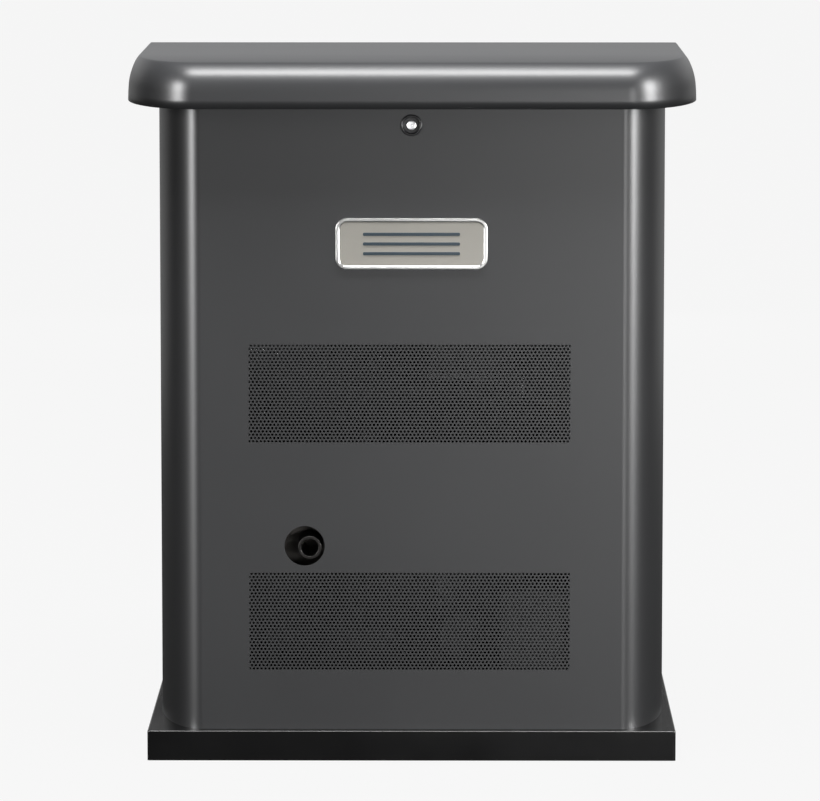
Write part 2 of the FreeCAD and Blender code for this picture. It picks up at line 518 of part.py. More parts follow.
def lid_stay():
    """Flat stay that swings up with the hood and stands under it."""
    bar = box(STAY_X, STAY_X + STAY_T, STAY_Y - STAY_LEN, STAY_Y,
              HINGE_Z - STAY_W / 2, HINGE_Z + STAY_W / 2)
    ends = [cyl(STAY_X, y, HINGE_Z, X, STAY_W / 2, STAY_T) for y in (STAY_Y, STAY_Y - STAY_LEN)]
    return joined(bar, *ends).cut(cyl(STAY_X, STAY_Y, HINGE_Z, X, STUD_R + RUN, STAY_T))


def engine_bed():
    """Steel tray that carries the engine and alternator as one unit."""
    plate = box(BED_X0, BED_X1, -BED_HALF, BED_HALF, BED_TOP - BED_T, BED_TOP)
    lips = [box(BED_X0, BED_X1, y, y + BED_LIP_T, BED_TOP - PAST, BED_TOP + BED_LIP_H)
            for y in (-BED_HALF, BED_HALF - BED_LIP_T)]
    return joined(plate, *lips)


def isolation_mounts():
    height = BED_TOP - BED_T - BASE_H
    spots = [(sx * MOUNT_X, sy * MOUNT_Y) for sx in (-1, 1) for sy in (-1, 1)]
    return group([cyl(x, y, BASE_H, Z, MOUNT_R, height) for x, y in spots])


def tilted(shape, x, lean):
    """Stand a shape built up the Z axis on the crank axis, leaning to one side."""
    shape.rotate(ORIGIN, X, LEAN * lean)
    shape.translate(V(x, 0, SHAFT_Z))
    return shape


def above_deck(height, x, lean):
    return tilted(box(-WIDE, WIDE, -WIDE, WIDE, height, height + WIDE), x, lean)


def crankcase():
    """Hollow case with two sloping decks, a crankshaft bore and the oil filler neck."""
    wall = CASE_WALL
    case = box(CASE_X0, CASE_X1, -CASE_HALF, CASE_HALF, BED_TOP, CASE_TOP)
    room = box(CASE_X0 + wall, CASE_X1 - wall, -CASE_HALF + wall, CASE_HALF - wall,
               BED_TOP + wall, CASE_TOP - wall)
    for x, lean in CYLINDERS:
        case = case.cut(above_deck(DECK, x, lean))
        room = room.cut(above_deck(DECK - wall, x, lean))
    root = CASE_TOP - 2 * wall
    neck = cyl(DIP_X, 0, root, Z, DIP_R + NECK_WALL, DIP_TOP - root)
    case = joined(case.cut(room), neck)
    case = case.cut(cyl(DIP_X, 0, root - wall, Z, DIP_R, DIP_TOP))
    return case.cut(cyl(CASE_X0, 0, SHAFT_Z, X, SHAFT_R + RUN, CASE_X1 - CASE_X0))


def cylinder_barrels():
    solids = []
    for x, lean in CYLINDERS:
        fins = [cyl(0, 0, DECK + FIN_START + i * FIN_PITCH, Z, FIN_R, FIN_T) for i in range(FINS)]
        barrel = joined(cyl(0, 0, DECK + RUN, Z, BARREL_R, BARREL_LEN - RUN), *fins)
        solids.append(tilted(barrel, x, lean))
    return group(solids)


def cylinder_heads():
    solids = []
    low = DECK + BARREL_LEN
    for x, lean in CYLINDERS:
        head = box(-HEAD_HALF, HEAD_HALF, -HEAD_HALF, HEAD_HALF, low, low + HEAD_LEN)
        for i in range(HEAD_SLOTS):
            z = low + HEAD_SLOT_START + i * HEAD_SLOT_PITCH
            for y in (-HEAD_HALF, HEAD_HALF - HEAD_SLOT_DEPTH):
                head = head.cut(box(-HEAD_HALF, HEAD_HALF, y, y + HEAD_SLOT_DEPTH, z, z + HEAD_SLOT_H))
        solids.append(tilted(head, x, lean))
    return group(solids)


def valve_covers():
    solids = []
    low = DECK + BARREL_LEN + HEAD_LEN
    for x, lean in CYLINDERS:
        cover = box(-COVER_X, COVER_X, -COVER_Y, COVER_Y, low, low + COVER_LEN)
        cover = cover.makeFillet(COVER_ROUND, [e for e in cover.Edges if e.BoundBox.ZMin > low + PAST])
        solids.append(tilted(cover, x, lean))
    return group(solids)


def crankshaft():
    """One shaft from the far bearing of the alternator to the flywheel."""
    shaft = cyl(SHAFT_X0, 0, SHAFT_Z, X, SHAFT_R, SHAFT_X1 - SHAFT_X0)
    webs = [cyl(x, 0, SHAFT_Z, X, WEB_R, WEB_T) for x in WEBS]
    pins = []
    for before, after in zip(WEBS, WEBS[1:]):
        start = before + WEB_T - PAST
        pins.append(cyl(start, 0, SHAFT_Z + THROW, X, CRANKPIN_R, after + PAST - start))
    return joined(shaft, *webs, *pins)


def flywheel():
    """Cast wheel with a ring of cooling blades on its outer face."""
    wheel = cyl(WHEEL_X, 0, SHAFT_Z, X, WHEEL_R, WHEEL_T)
    face = WHEEL_X + WHEEL_T
    blade = box(face - PAST, face + BLADE_LEN, -BLADE_HALF, BLADE_HALF, BLADE_IN, BLADE_OUT)
    bore = cyl(WHEEL_X, 0, SHAFT_Z, X, SHAFT_R + RUN, WHEEL_T)
    return joined(wheel, *round_shaft(blade, BLADES)).cut(bore)


def blower_housing():
    """Sheet cup over the flywheel with a round inlet and a foot on the bed."""
    wall, depth = BLOWER_WALL, BLOWER_DEPTH
    cup = cyl(CASE_X1, 0, SHAFT_Z, X, BLOWER_R, depth)
    cup = cup.cut(cyl(CASE_X1, 0, SHAFT_Z, X, BLOWER_R - wall, depth - wall))
    cup = cup.cut(cyl(CASE_X1, 0, SHAFT_Z, X, INLET_R, depth))
    foot = box(CASE_X1 + FOOT_MARGIN, CASE_X1 + depth - FOOT_MARGIN, -FOOT_HALF, FOOT_HALF,
               BED_TOP, BED_TOP + BLOWER_FOOT_H)
    return joined(cup, foot.cut(cyl(CASE_X1, 0, SHAFT_Z, X, BLOWER_R - FOOT_BITE, depth)))


def stator_can():
    length = CASE_X0 - CAN_X0
    can = tube(CAN_X0, 0, SHAFT_Z, X, CAN_R, CAN_IN, length)
    foot = box(CAN_FOOT_X0, CAN_FOOT_X1, -FOOT_HALF, FOOT_HALF, BED_TOP, BED_TOP + CAN_FOOT_H)
    can = joined(can, foot.cut(cyl(CAN_X0, 0, SHAFT_Z, X, CAN_R - FOOT_BITE, length)))
    half = CAN_SLOT_HALF
    slot = box(CAN_SLOT_X0, CAN_SLOT_X1, -half, half, CAN_IN - half, CAN_R + half)
    for opening in round_shaft(slot, CAN_SLOTS, -90):
        can = can.cut(opening)
    return can


def stator_core():
    """Laminated core with the windings showing at both ends."""
    inner = ROTOR_R + AIR_GAP
    core = tube(ROTOR_X0, 0, SHAFT_Z, X, CAN_IN - SEAT, inner, ROTOR_X1 - ROTOR_X0)
    ends = [tube(x, 0, SHAFT_Z, X, CAN_IN - WINDING_OUT, inner + WINDING_IN, WINDING_LEN + PAST)
            for x in (ROTOR_X0 - WINDING_LEN, ROTOR_X1 - PAST)]
    return joined(core, *ends)


def rotor():
    """Four-pole rotor with its fan, fixed on the crankshaft."""
    drum = cyl(ROTOR_X0, 0, SHAFT_Z, X, ROTOR_R, ROTOR_X1 - ROTOR_X0)
    gap = box(ROTOR_X0, ROTOR_X1, -POLE_GAP_HALF, POLE_GAP_HALF, POLE_ROOT, ROTOR_R + PAST)
    for opening in round_shaft(gap, POLES):
        drum = drum.cut(opening)
    hub = cyl(ROTOR_X0 - HUB_LEN, 0, SHAFT_Z, X, HUB_R, HUB_LEN + PAST)
    fan = cyl(FAN_X, 0, SHAFT_Z, X, FAN_R, FAN_T)
    bore = cyl(ROTOR_X0 - HUB_LEN, 0, SHAFT_Z, X, SHAFT_R + RUN, ROTOR_X1 - ROTOR_X0 + HUB_LEN)
    return joined(drum, hub, fan).cut(bore)


def end_bell():
    """Bearing end of the alternator with air slots round the bearing."""
    start = CAN_X0 - BELL_T
    bell = cyl(start, 0, SHAFT_Z, X, CAN_R, BELL_T)
    slot = box(start, CAN_X0, -BELL_SLOT_HALF, BELL_SLOT_HALF, BELL_SLOT_IN, BELL_SLOT_OUT)
    for opening in round_shaft(slot, BELL_SLOTS):
        bell = bell.cut(opening)
    return bell.cut(cyl(start, 0, SHAFT_Z, X, SHAFT_R + RUN, BELL_T))


def muffler():
    """Round drum muffler with a blind bore where the tailpipe seats."""
    drum = cyl(MUFFLER_X0, MUFFLER_Y, TAIL_Z, X, MUFFLER_R, MUFFLER_X1 - MUFFLER_X0)
    rims = [e for e in drum.Edges if e.Curve.TypeId == "Part::GeomCircle"]
    drum = drum.makeFillet(MUFFLER_ROUND, rims)
    return drum.cut(cyl(TAIL_X, MUFFLER_Y - MUFFLER_R - PAST, TAIL_Z, Y, TAIL_BORE, TAIL_SOCKET + PAST))


def tailpipe():
    start = FRONT + TAIL_STEP
    end = MUFFLER_Y - MUFFLER_R - SEAT
    return tube(TAIL_X, start, TAIL_Z, Y, TAIL_R, TAIL_BORE, end - start)


def exhaust_pipes():
    """One pipe from each head: the near one to the drum's end, the far one to its top."""
    reach = (DECK + BARREL_LEN + HEAD_LEN / 2) * DIAGONAL
    height = SHAFT_Z + reach
    near = [V(NEAR_START, -reach, height), V(NEAR_CORNER, -reach, height),
            V(NEAR_CORNER, MUFFLER_Y, TAIL_Z), V(MUFFLER_X1 + SEAT, MUFFLER_Y, TAIL_Z)]
    far = [V(FAR_START, reach, height), V(FAR_X, reach, height), V(FAR_X, MUFFLER_Y, height),
           V(FAR_X, MUFFLER_Y, TAIL_Z + MUFFLER_R + SEAT)]
    return group([bent_tube(near, NEAR_BEND, PIPE_R, PIPE_BORE), bent_tube(far, FAR_BEND, PIPE_R, PIPE_BORE)])


def intake_runner(side):
    """Pipe from one head's inner face, bent over into the mixer."""
    reach = DECK + BARREL_LEN + HEAD_LEN / 2
    start = V(RUNNER_X, side * (HEAD_HALF - reach) * DIAGONAL, SHAFT_Z + (reach + HEAD_HALF) * DIAGONAL)
    rise = MIX_AXIS - start.z
    bend = start + V(0, side * rise, rise)
    path = bent_path([start, bend, V(RUNNER_X, -side * (MIX_HALF - RUNNER_BITE), MIX_AXIS)], RUNNER_BEND)
    ring = Part.Wire([Part.makeCircle(RUNNER_R, start, bend - start)])
    return path.makePipeShell([ring], True, False)


def mixer():
    """Gas mixer between the heads, with a runner to each and the air cleaner's tray."""
    block = box(MIX_X0, MIX_X1, -MIX_HALF, MIX_HALF, MIX_Z0, MIX_Z1)
    tray = box(TRAY_X0, TRAY_X1, -TRAY_HALF, TRAY_HALF, MIX_Z1 - PAST, MIX_Z1 + TRAY_T)
    step = box(TRAY_X0 + TRAY_STEP, TRAY_X1 - TRAY_STEP, TRAY_STEP - TRAY_HALF, TRAY_HALF - TRAY_STEP,
               MIX_Z1 + TRAY_T - PAST, MIX_Z1 + TRAY_T + TRAY_STEP_T)
    block = joined(block, intake_runner(1), intake_runner(-1), tray, step)
    return block.cut(cyl(MIX_X0, 0, MIX_Z1 - THROTTLE_DROP, X, THROTTLE_R + RUN, MIX_X1 - MIX_X0))


def throttle_shaft():
    z, start = MIX_Z1 - THROTTLE_DROP, MIX_X1 + PAST
    shaft = cyl(MIX_X0 - THROTTLE_OUT, 0, z, X, THROTTLE_R, MIX_X1 + THROTTLE_END - MIX_X0 + THROTTLE_OUT)
    lever = box(start, start + LEVER_T, -LEVER_HALF, LEVER_HALF, z - LEVER_LEN, z)
    return joined(shaft, lever, cyl(start, 0, z, X, LEVER_EYE, LEVER_T))


def filter_element():
    low = MIX_Z1 + TRAY_T + TRAY_STEP_T
    frame = box(FILTER_X0, FILTER_X1, -FILTER_HALF, FILTER_HALF, low, low + FILTER_H)
    inner = FILTER_HALF - FILTER_RIM
    for i in range(PLEATS):
        x = FILTER_X0 + PLEAT_START + i * PLEAT_PITCH
        frame = frame.cut(box(x, x + PLEAT_GAP, -inner, inner, low + FILTER_RIM, low + FILTER_H))
    return frame


def air_cleaner_cover():
    low = MIX_Z1 + TRAY_T
    x0, x1, half = TRAY_X0 + CLEANER_SHY, TRAY_X1 - CLEANER_SHY, TRAY_HALF - CLEANER_SHY
    shell = box(x0, x1, -half, half, low, low + CLEANER_H)
    shell = shell.makeFillet(CLEANER_ROUND, [e for e in shell.Edges if e.BoundBox.ZMin > low + PAST])
    wall = CLEANER_WALL
    room = box(x0 + wall, x1 - wall, wall - half, half - wall, low, low + CLEANER_H - CLEANER_ROOF)
    return shell.cut(room)


def dipstick():
    """Rod and pull cap that lift out of the filler neck."""
    start = SHAFT_Z + DIP_START
    rod = cyl(DIP_X, 0, start, Z, DIP_R - RUN, DIP_TOP + PAST - start)
    return joined(rod, cyl(DIP_X, 0, DIP_TOP + SEAT, Z, CAP_R, CAP_T))


def oil_filter():
    can = cyl(OIL_FILTER_X, -CASE_HALF, OIL_FILTER_Z, -Y, OIL_FILTER_R, OIL_FILTER_LEN)
    end = -CASE_HALF - OIL_FILTER_LEN
    return can.makeFillet(CAN_ROUND, [e for e in can.Edges if e.BoundBox.YMax < end + PAST])


def starter_motor():
    y = CASE_HALF + STARTER_R + SEAT
    motor = cyl(STARTER_X, y, STARTER_Z, X, STARTER_R, STARTER_LEN)
    solenoid = cyl(SOLENOID_X, y, STARTER_Z + SOLENOID_RISE, X, SOLENOID_R, SOLENOID_LEN)
    strap = box(STRAP_X0, STRAP_X1, y - STRAP_HALF, y + STRAP_HALF, STRAP_Z0, STRAP_Z1)
    return joined(motor, solenoid, strap)


def battery():
    """Sealed battery with its two posts."""
    x0, x1, _, y1, z0, z1 = BATTERY
    case = box(*BATTERY)
    case = case.makeFillet(BATTERY_ROUND, [e for e in case.Edges if e.BoundBox.ZMin > z0 + PAST])
    posts = [cyl(x, y1 - BATTERY_POST_BACK, z1 - PAST, Z, BATTERY_POST_R, BATTERY_POST_H + PAST)
             for x in (x0 + BATTERY_POST_IN, x1 - BATTERY_POST_IN)]
    return joined(case, *posts)


def control_box():
    """Sheet box across the back under the hood, with two hanging flanges."""
    w = BOX_WALL
    tray = box(-BOX_HALF, BOX_HALF, BOX_Y0, BOX_Y1, BOX_Z0, BOX_Z1)
    tray = tray.cut(box(-BOX_HALF + w, BOX_HALF - w, BOX_Y0 + w, BOX_Y1 - w, BOX_Z0 + w, BOX_Z1))
    low, high = BOX_Z0 + BOX_FLANGE_STEP, BOX_Z1 - BOX_FLANGE_STEP
    flanges = [box(x, x + BOX_FLANGE, BOX_Y1 - PAST, BACK - SHEET, low, high)
               for x in (-BOX_HALF, BOX_HALF - BOX_FLANGE)]
    return joined(tray, *flanges)


def control_face():
    """Cover plate with the key holes and a raised frame round the display."""
    face = box(-BOX_HALF, BOX_HALF, BOX_Y0, BOX_Y1, BOX_Z1, FACE_TOP)
    for x in KEYS.values():
        face = face.cut(cyl(x, KEY_Y, BOX_Z1, Z, KEY_R + KEY_GAP, FACE_T))
    half_w, half_d, top = DISPLAY_W / 2, DISPLAY_D / 2, FACE_TOP + DISPLAY_H
    rim = DISPLAY_RIM
    frame = box(-half_w - rim, half_w + rim, DISPLAY_Y - half_d - rim, DISPLAY_Y + half_d + rim,
                BOX_Z1, top)
    well = box(-half_w, half_w, DISPLAY_Y - half_d, DISPLAY_Y + half_d, FACE_TOP + DISPLAY_FLOOR, top)
    return joined(face, frame).cut(well)


def key(x):
    stem = cyl(x, KEY_Y, BOX_Z1 - KEY_STEM, Z, KEY_R, KEY_STEM + FACE_T + KEY_TOP)
    return stem.makeFillet(KEY_ROUND, [e for e in stem.Edges if e.BoundBox.ZMin > FACE_TOP + PAST])


def display_lens():
    half_w, half_d = DISPLAY_W / 2 - SEAT, DISPLAY_D / 2 - SEAT
    z = FACE_TOP + DISPLAY_FLOOR
    return box(-half_w, half_w, DISPLAY_Y - half_d, DISPLAY_Y + half_d, z, z + LENS_T)


def breaker_body():
    x, y, z = BREAKER_X, BREAKER_Y, FACE_TOP
    half_w, half_d, top = BREAKER_W / 2, BREAKER_D / 2, z + BREAKER_H
    slot_x, slot_y = BREAKER_SLOT_X, BREAKER_SLOT_Y
    block = box(x - half_w, x + half_w, y - half_d, y + half_d, z, top)
    return block.cut(box(x - slot_x, x + slot_x, y - slot_y, y + slot_y, z + BREAKER_FLOOR, top))


def breaker_toggle():
    """Two-way handle rocking on its own pivot in the breaker's slot."""
    x, y = BREAKER_X, BREAKER_Y
    z = FACE_TOP + BREAKER_FLOOR + TOGGLE_R + TOGGLE_GAP
    half = BREAKER_SLOT_X - TOGGLE_GAP
    pivot = cyl(x - half, y, z, X, TOGGLE_R, 2 * half)
    return joined(pivot, box(x - TOGGLE_HALF, x + TOGGLE_HALF, y - TOGGLE_T, y + TOGGLE_T, z, z + TOGGLE_H))


def cable_gland():
    """Hollow hub through the back sheet for the supply cable."""
    start, wide = BACK - GLAND_IN, GLAND_R + GLAND_FLANGE
    sleeve = cyl(GLAND_X, start, GLAND_Z, Y, GLAND_R, GLAND_LEN)
    flange = cyl(GLAND_X, BACK, GLAND_Z, Y, wide, GLAND_NUT)
    nut = cyl(GLAND_X, BACK - SHEET - GLAND_NUT, GLAND_Z, Y, wide, GLAND_NUT)
    return joined(sleeve, flange, nut).cut(cyl(GLAND_X, start, GLAND_Z, Y, GLAND_BORE, GLAND_LEN))


def fuel_valve():
    """Shut-off cock inside the back sheet with its nipple reaching out."""
    near, half = COCK_Y - COCK_DEEP, COCK_HALF
    block = box(FUEL_X - half, FUEL_X + half, near, COCK_Y + COCK_DEEP, FUEL_Z - half, FUEL_Z + half)
    start = near - 2 * PAST
    nipple = cyl(FUEL_X, start, FUEL_Z, Y, FUEL_R, BACK + FUEL_OUT - start)
    bore = cyl(FUEL_X, BACK + FUEL_BORE_START, FUEL_Z, Y, FUEL_BORE, FUEL_OUT)
    stem = cyl(FUEL_X, COCK_Y, FUEL_Z + COCK_SEAT, Z, COCK_STEM_R + RUN, half)
    return joined(block, nipple).cut(bore).cut(stem)


def fuel_valve_lever():
    """Handle on the cock's stem, lying along the back when open."""
    x, y, z, half = FUEL_X, COCK_Y, FUEL_Z + COCK_HALF + SEAT, LEVER_W / 2
    stem = cyl(x, y, FUEL_Z + COCK_STEM, Z, COCK_STEM_R, COCK_STEM_LEN)
    bar = box(x, x + LEVER_REACH, y - half, y + half, z, z + COCK_LEVER_T)
    return joined(stem, bar, cyl(x, y, z, Z, COCK_EYE, COCK_LEVER_T))


def regulator():
    """Round gas regulator on a leg from the base pan."""
    low = FUEL_Z + REG_TOP - REG_DEEP
    drum = cyl(FUEL_X, REG_Y, low, Z, REG_R, REG_DEEP)
    rim = cyl(FUEL_X, REG_Y, FUEL_Z - REG_RIM_LOW, Z, REG_RIM_R, REG_RIM_T)
    leg = box(FUEL_X - REG_LEG, FUEL_X + REG_LEG, REG_Y - REG_LEG, REG_Y + REG_LEG, BASE_H, low + PAST)
    return joined(drum, rim, leg)


def fuel_hose():
    """Hose from the top of the regulator to the side of the mixer."""
    path = [V(FUEL_X, REG_Y, FUEL_Z + REG_TOP), V(FUEL_X, REG_Y, MIX_AXIS), V(FUEL_X, 0, MIX_AXIS),
            V(MIX_X0, 0, MIX_AXIS)]
    return bent_tube(path, HOSE_BEND, HOSE_R, HOSE_BORE)


PARTS = {
    "base_pan": base_pan, "frame_posts": frame_posts, "top_frame": top_frame, "roof_seal": roof_seal,
    "front_panel": front_panel, "vent_screens": vent_screens,
    "side_panel_left": lambda: side_panel(-1), "side_panel_right": lambda: side_panel(1),
    "back_panel": back_panel, "badge_bezel": badge_bezel, "badge_face": badge_face,
    "panel_screws": panel_screws, "lock_housing": lock_housing, "lock_plug": lock_plug,
    "lock_cam": lock_cam, "lock_keeper": lock_keeper, "hood_shell": hood_shell,
    "hood_liner": hood_liner, "hood_frame": hood_frame,
    "hinge_leaves_fixed": lambda: hinge_leaves(False),
    "hinge_leaves_moving": lambda: hinge_leaves(True), "hinge_pins": hinge_pins,
    "lid_stay": lid_stay, "engine_bed": engine_bed, "isolation_mounts": isolation_mounts,
    "crankcase": crankcase, "cylinder_barrels": cylinder_barrels,
    "cylinder_heads": cylinder_heads, "valve_covers": valve_covers, "crankshaft": crankshaft,
    "flywheel": flywheel, "blower_housing": blower_housing, "stator_can": stator_can,
    "stator_core": stator_core, "rotor": rotor, "end_bell": end_bell, "oil_filter": oil_filter,
    "starter_motor": starter_motor, "dipstick": dipstick, "muffler": muffler,
    "tailpipe": tailpipe, "exhaust_pipes": exhaust_pipes, "mixer": mixer,
    "throttle_shaft": throttle_shaft, "filter_element": filter_element,
    "air_cleaner_cover": air_cleaner_cover, "battery": battery, "control_box": control_box,
    "control_face": control_face, "display_lens": display_lens, "breaker_body": breaker_body,
    "breaker_toggle": breaker_toggle, "cable_gland": cable_gland, "fuel_valve": fuel_valve,
    "fuel_valve_lever": fuel_valve_lever, "regulator": regulator, "fuel_hose": fuel_hose,
}
for name, place in KEYS.items():
    PARTS[name] = lambda place=place: key(place)

os.makedirs("parts", exist_ok=True)
for node, make in PARTS.items():
    shape = make()
    solids = shape.Solids
    if not shape.isValid() or not solids:
        raise ValueError(node + " is not a valid solid")
    finished = solids[0] if len(solids) == 1 else Part.makeCompound(solids)
    finished.exportStep("parts/" + node + ".step")
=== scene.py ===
import math

import bmesh
import bpy
from mathutils import Matrix, Vector


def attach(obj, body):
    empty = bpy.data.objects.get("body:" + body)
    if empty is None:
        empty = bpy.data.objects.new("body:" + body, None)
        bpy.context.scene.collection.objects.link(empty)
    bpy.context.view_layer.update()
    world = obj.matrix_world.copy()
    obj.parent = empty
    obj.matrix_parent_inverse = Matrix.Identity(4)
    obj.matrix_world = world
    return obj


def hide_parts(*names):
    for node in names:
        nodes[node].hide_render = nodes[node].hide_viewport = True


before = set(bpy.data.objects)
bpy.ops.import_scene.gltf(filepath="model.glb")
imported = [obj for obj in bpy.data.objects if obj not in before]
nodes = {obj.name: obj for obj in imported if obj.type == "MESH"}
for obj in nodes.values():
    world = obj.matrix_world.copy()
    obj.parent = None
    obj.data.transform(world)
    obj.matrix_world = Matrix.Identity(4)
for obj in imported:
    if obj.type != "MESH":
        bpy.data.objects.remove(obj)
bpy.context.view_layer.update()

# Base pan. One deep pressing in steel, stove enamelled black with a thin gloss,
# standing on the ground; the panels and the engine are bolted down onto it.
BLACK_ENAMEL = (0.0022, 0.0022, 0.0024)


def finish(name, colour, metal=0.0, rough=0.4, grain=900.0, grain_height=0.00004, mottle=0.1,
           mottle_scale=9.0, rough_spread=0.06, coat=0.0):
    """A painted, moulded or bare surface: mottled colour, uneven gloss and a fine grain."""
    made = bpy.data.materials.new(name)
    made.use_nodes = True
    tree = made.node_tree
    shader = tree.nodes["Principled BSDF"]
    shader.inputs["Metallic"].default_value = metal
    shader.inputs["Coat Weight"].default_value = coat
    shader.inputs["Coat Roughness"].default_value = 0.12
    place = tree.nodes.new("ShaderNodeTexCoord")
    cloud = tree.nodes.new("ShaderNodeTexNoise")
    cloud.inputs["Scale"].default_value = mottle_scale
    cloud.inputs["Detail"].default_value = 5.0
    tree.links.new(place.outputs["Object"], cloud.inputs["Vector"])
    tint = tree.nodes.new("ShaderNodeValToRGB")
    tint.color_ramp.elements[0].position = 0.25
    tint.color_ramp.elements[1].position = 0.75
    tint.color_ramp.elements[0].color = (*[c * (1 - mottle) for c in colour], 1)
    tint.color_ramp.elements[1].color = (*[min(1, c * (1 + mottle)) for c in colour], 1)
    tree.links.new(cloud.outputs["Fac"], tint.inputs["Fac"])
    tree.links.new(tint.outputs["Color"], shader.inputs["Base Color"])
    gloss = tree.nodes.new("ShaderNodeMapRange")
    gloss.inputs["To Min"].default_value = max(0.02, rough - rough_spread)
    gloss.inputs["To Max"].default_value = min(1.0, rough + rough_spread)
    tree.links.new(cloud.outputs["Fac"], gloss.inputs["Value"])
    tree.links.new(gloss.outputs["Result"], shader.inputs["Roughness"])
    pores = tree.nodes.new("ShaderNodeTexNoise")
    pores.inputs["Scale"].default_value = grain
    pores.inputs["Detail"].default_value = 3.0
    tree.links.new(place.outputs["Object"], pores.inputs["Vector"])
    bump = tree.nodes.new("ShaderNodeBump")
    bump.inputs["Strength"].default_value = 0.35
    bump.inputs["Distance"].default_value = grain_height
    tree.links.new(pores.outputs["Fac"], bump.inputs["Height"])
    tree.links.new(bump.outputs["Normal"], shader.inputs["Normal"])
    return made


def dress(material, *names):
    """Give the frame's own shapes a finish."""
    for name in names:
        mesh = nodes[name].data
        mesh.materials.clear()
        mesh.materials.append(material)


black_enamel = finish("black_enamel", BLACK_ENAMEL, rough=0.24, grain=260, grain_height=0.00003,
                      coat=0.1)
dress(black_enamel, "base_pan")

# Wrap-round front sheet. Steel, folded round both front corners in one long soft
# sweep and powder coated a satin dark grey; vents, lock and exhaust holes are cut in it.
HALF, FRONT, BACK = 0.319, -0.321, 0.321
SWEEP_X, SWEEP_Y = 0.058, 0.170
SHEET, FOOT, TOP, SEAM = 0.002, 0.0375, 0.828, -0.14
GREY = (0.036, 0.0368, 0.039)
VENT_X = (-0.202, 0.197)
VENTS = ((0.3986, 0.5206), (0.1127, 0.2347))
LOCK_Z, LOCK_R = 0.7928, 0.0122
PORT_X, PORT_Z, PORT_R = -0.133, 0.2686, 0.025
CUT_DEPTH = 0.02

powder_coat = finish("powder_coat", GREY, metal=0.0, rough=0.40, grain=1500, grain_height=0.00006,
                     mottle=0.05, mottle_scale=5.0, rough_spread=0.02)


def piece(name, verts, faces, material, body, stands_for=(), smooth=True):
    """A finished piece of mesh that rides on its body and stands for its frame nodes."""
    mesh = bpy.data.meshes.new(name)
    mesh.from_pydata([tuple(v) for v in verts], [], faces)
    mesh.validate()
    mesh.materials.append(material)
    made = bpy.data.objects.new(name, mesh)
    bpy.context.scene.collection.objects.link(made)
    form = bmesh.new()
    form.from_mesh(mesh)
    bmesh.ops.recalc_face_normals(form, faces=form.faces)
    for face in form.faces:
        face.smooth = smooth
    form.to_mesh(mesh)
    form.free()
    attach(made, body)
    if stands_for:
        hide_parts(*stands_for)
    return made


def settle(made, *modifiers):
    """Bake a run of modifiers, given as (type, settings), into the piece's own mesh."""
    for kind, settings in modifiers:
        step = made.modifiers.new(kind.lower(), kind)
        for key, value in settings.items():
            setattr(step, key, value)
    view = bpy.context.evaluated_depsgraph_get()
    baked = bpy.data.meshes.new_from_object(made.evaluated_get(view), preserve_all_data_layers=True,
                                            depsgraph=view)
    made.modifiers.clear()
    made.data = baked
    return made


def soften(made, width, segments=2):
    """Round the sharp edges a little and keep the flats flat in the shading."""
    return settle(made, ("BEVEL", {"width": width, "segments": segments, "limit_method": "ANGLE",
                                   "angle_limit": math.radians(35)}),
                  ("WEIGHTED_NORMAL", {"keep_sharp": True, "weight": 100}))


def sweep_corner(side, inset, steps=28):
    """Plan points of a front corner, from the flat of the front to the flat of the side."""
    points = []
    for i in range(steps + 1):
        turn = math.pi / 2 * i / steps
        points.append((side * (HALF - SWEEP_X + (SWEEP_X - inset) * math.sin(turn)),
                       FRONT + SWEEP_Y - (SWEEP_Y - inset) * math.cos(turn)))
    return points


def front_plan(inset):
    """The front sheet's outline from one side seam round to the other, drawn in by an inset."""
    left = [(-(HALF - inset), SEAM)] + sweep_corner(-1, inset)[::-1]
    return left + sweep_corner(1, inset) + [(HALF - inset, SEAM)]


outer, inner = front_plan(0), front_plan(SHEET)
loop = outer + inner[::-1]
count = len(loop)
verts = [Vector((x, y, z)) for z in (FOOT, TOP) for x, y in loop]
faces = [(i, (i + 1) % count, count + (i + 1) % count, count + i) for i in range(count)]
half = len(outer)
for level in (0, count):
    faces += [(level + i, level + i + 1, level + count - 2 - i, level + count - 1 - i)
              for i in range(half - 1)]
front_sheet = piece("front_sheet", verts, faces, powder_coat, "enclosure",
                    ("front_panel",))

cut = bmesh.new()
for low, high in VENTS:
    middle = Vector(((VENT_X[0] + VENT_X[1]) / 2, FRONT, (low + high) / 2))
    size = Matrix.Diagonal((VENT_X[1] - VENT_X[0], CUT_DEPTH, high - low, 1))
    bmesh.ops.create_cube(cut, size=1, matrix=Matrix.Translation(middle) @ size)
for x, z, radius in ((0, LOCK_Z, LOCK_R), (PORT_X, PORT_Z, PORT_R)):
    turn = Matrix.Translation((x, FRONT, z)) @ Matrix.Rotation(math.pi / 2, 4, "X")
    bmesh.ops.create_cone(cut, cap_ends=True, segments=72, radius1=radius, radius2=radius,
                          depth=CUT_DEPTH, matrix=turn)
cutter_mesh = bpy.data.meshes.new("openings")
cut.to_mesh(cutter_mesh)
cut.free()
cutter = bpy.data.objects.new("openings", cutter_mesh)
bpy.context.scene.collection.objects.link(cutter)
settle(front_sheet, ("BOOLEAN", {"object": cutter, "operation": "DIFFERENCE", "solver": "EXACT"}),
       ("WEIGHTED_NORMAL", {"keep_sharp": True, "weight": 100}))
bpy.data.objects.remove(cutter)

# Flat side and back sheets, folded and powder coated to match the front,
# screwed to the four angle posts behind the seams.
dress(powder_coat, "side_panel_left", "side_panel_right", "back_panel")

